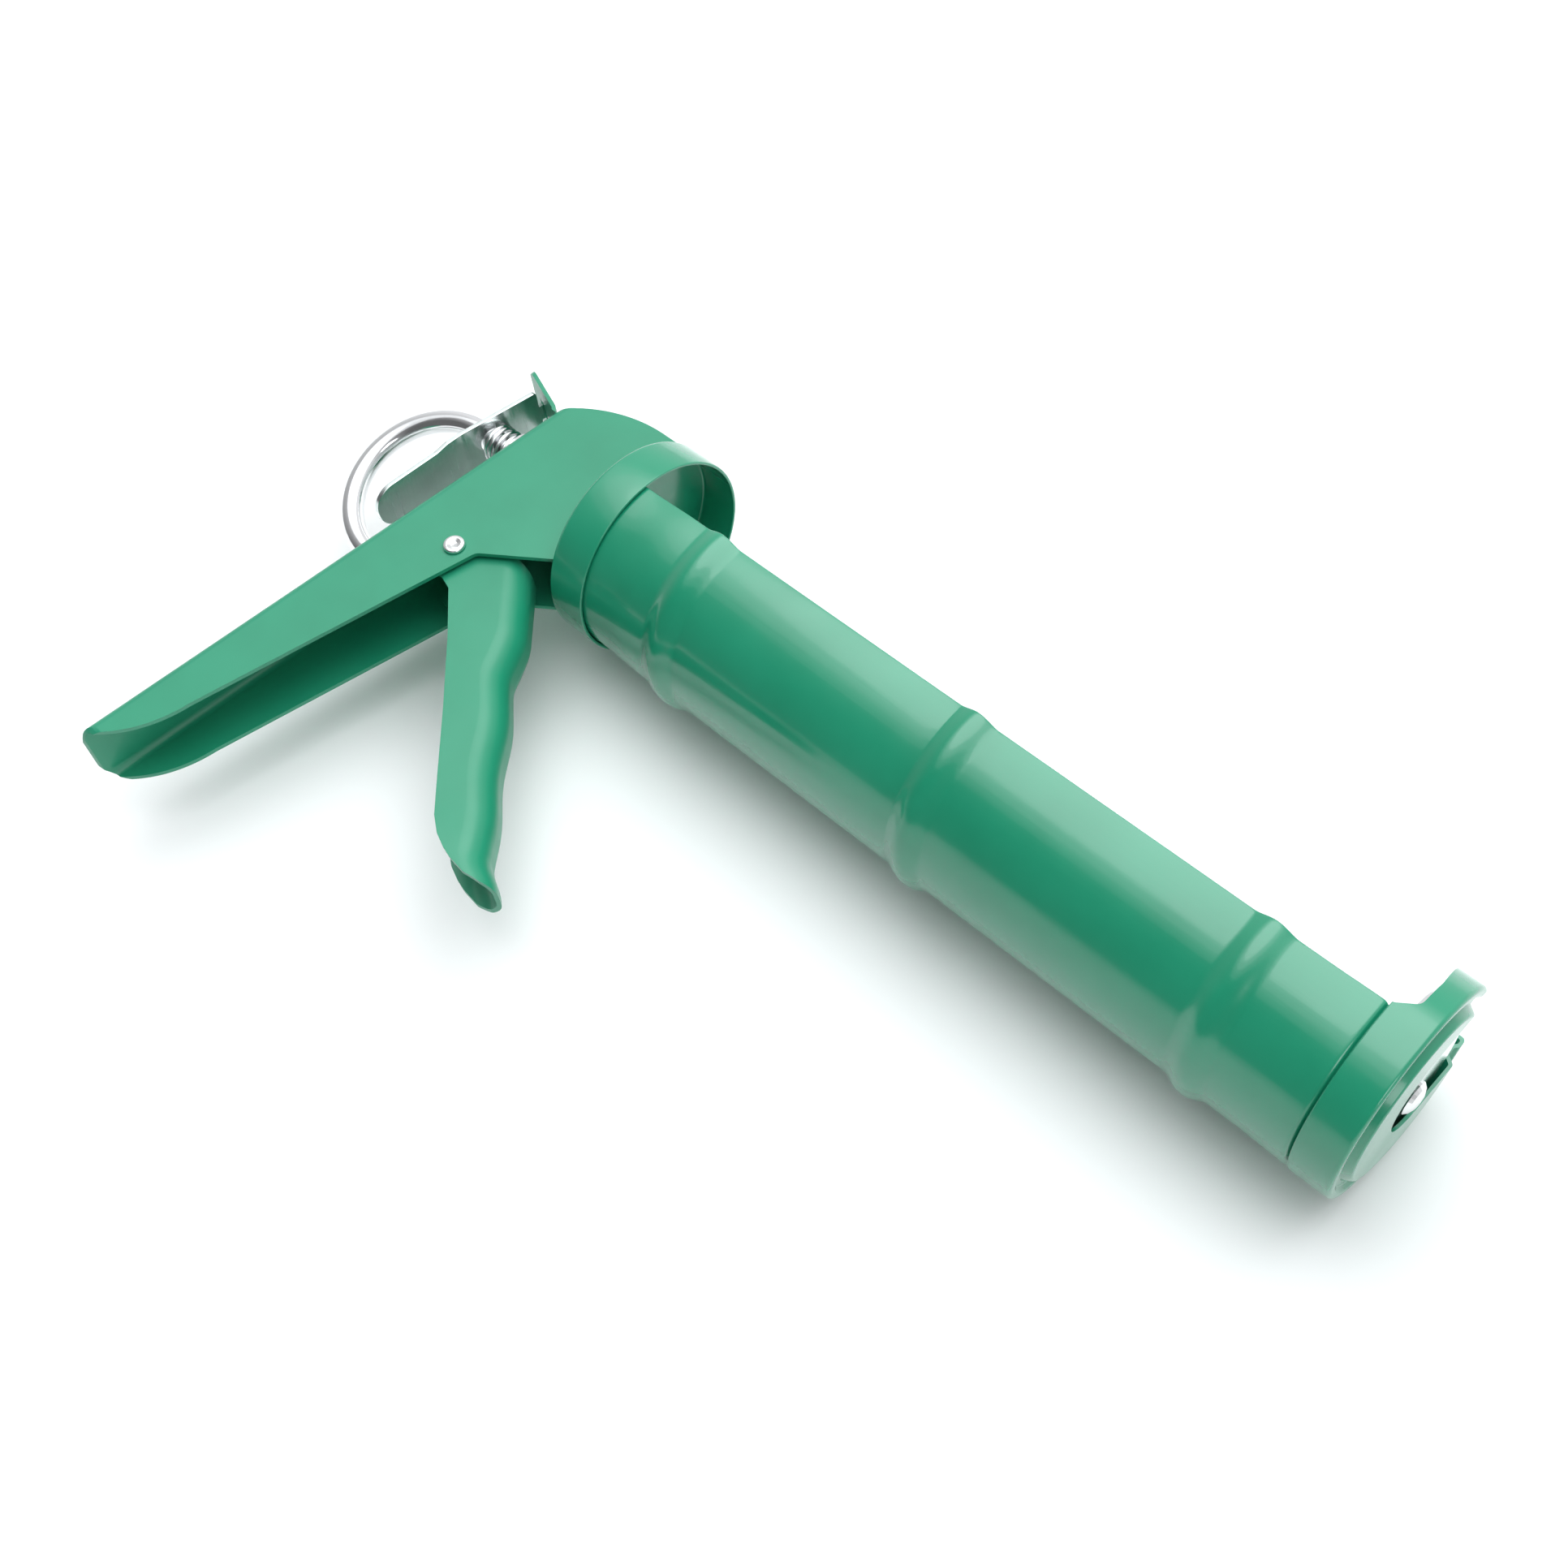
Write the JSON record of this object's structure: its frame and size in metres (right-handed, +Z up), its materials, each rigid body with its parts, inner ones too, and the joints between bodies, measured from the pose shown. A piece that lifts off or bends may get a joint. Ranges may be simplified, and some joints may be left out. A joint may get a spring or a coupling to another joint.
{
  "type": "caulking gun",
  "caption": "Manual caulking gun with ribbed half-round cartridge cradle, slotted end cap, hooked smooth push rod, squeeze trigger and thumb release plate, lying on its left side",
  "frame": {"origin": "centre of the bounding box's bottom face, with the gun lying on its left side", "axes": "+X forward along the barrel towards the slotted cap, +Y towards the gun's upper side (open side of the cradle), +Z up, which is the gun's right side"},
  "size_m": [0.3218, 0.162, 0.0574],
  "materials": {
    "green_enamel": "glossy green baked enamel over pressed sheet steel",
    "zinc_plate": "bright zinc plating",
    "bright_steel": "polished bright plated rod",
    "spring_steel": "plated spring wire",
    "dull_steel": "plain steel"
  },
  "bodies": {
    "frame": {"barrel_trough": "green_enamel", "front_cap": "green_enamel", "rear_collar": "green_enamel", "handle_frame": "green_enamel", "rod_guide_bush": "zinc_plate", "trigger_pivot_rivet": "zinc_plate", "trigger_washer_left": "zinc_plate", "trigger_washer_right": "zinc_plate", "trigger_spacer_sleeve": "dull_steel", "drive_spring_washer": "zinc_plate", "drive_spring": "spring_steel", "release_spring_washer": "zinc_plate", "release_spring": "spring_steel"},
    "plunger": {"plunger_disc": "zinc_plate", "plunger_backing_washer": "zinc_plate"},
    "rod": {"plunger_rod": "bright_steel", "rod_shoulder_ring": "zinc_plate", "rod_end_rivet": "zinc_plate"},
    "trigger_lever": {"trigger": "green_enamel"},
    "drive": {"drive_plate": "zinc_plate"},
    "release": {"release_plate": "zinc_plate"}
  },
  "joints": [
    {"name": "plunger_slide", "type": "slide", "parent": "frame", "child": "plunger", "axis": [1, 0, 0], "range_m": [-0.212, 0]},
    {"name": "rod_turn", "type": "hinge", "parent": "plunger", "child": "rod", "pos_m": [-0.06673, 0.05353, 0.0287], "axis": [1, 0, 0], "continuous": true},
    {"name": "trigger_squeeze", "type": "hinge", "parent": "frame", "child": "trigger_lever", "pos_m": [-0.10283, 0.01753, 0.0287], "axis": [0, 0, -1], "range_deg": [0, 36], "stiffness_Nm_per_rad": 0.3, "springref_deg": -22.92},
    {"name": "drive_plate_slide", "type": "slide", "parent": "frame", "child": "drive", "axis": [1, 0, 0], "range_m": [0, 0.0104], "deforming": ["drive_spring"]},
    {"name": "release_press", "type": "hinge", "parent": "frame", "child": "release", "pos_m": [-0.12853, 0.06974, 0.0287], "axis": [0, 0, 1], "range_deg": [0, 7], "stiffness_Nm_per_rad": 0.7, "springref_deg": -5.73, "deforming": ["release_spring"]}
  ],
  "couplings": [
    {"joint": "drive_plate_slide", "follows": "trigger_squeeze", "m_per_rad": 0.0163}
  ]
}
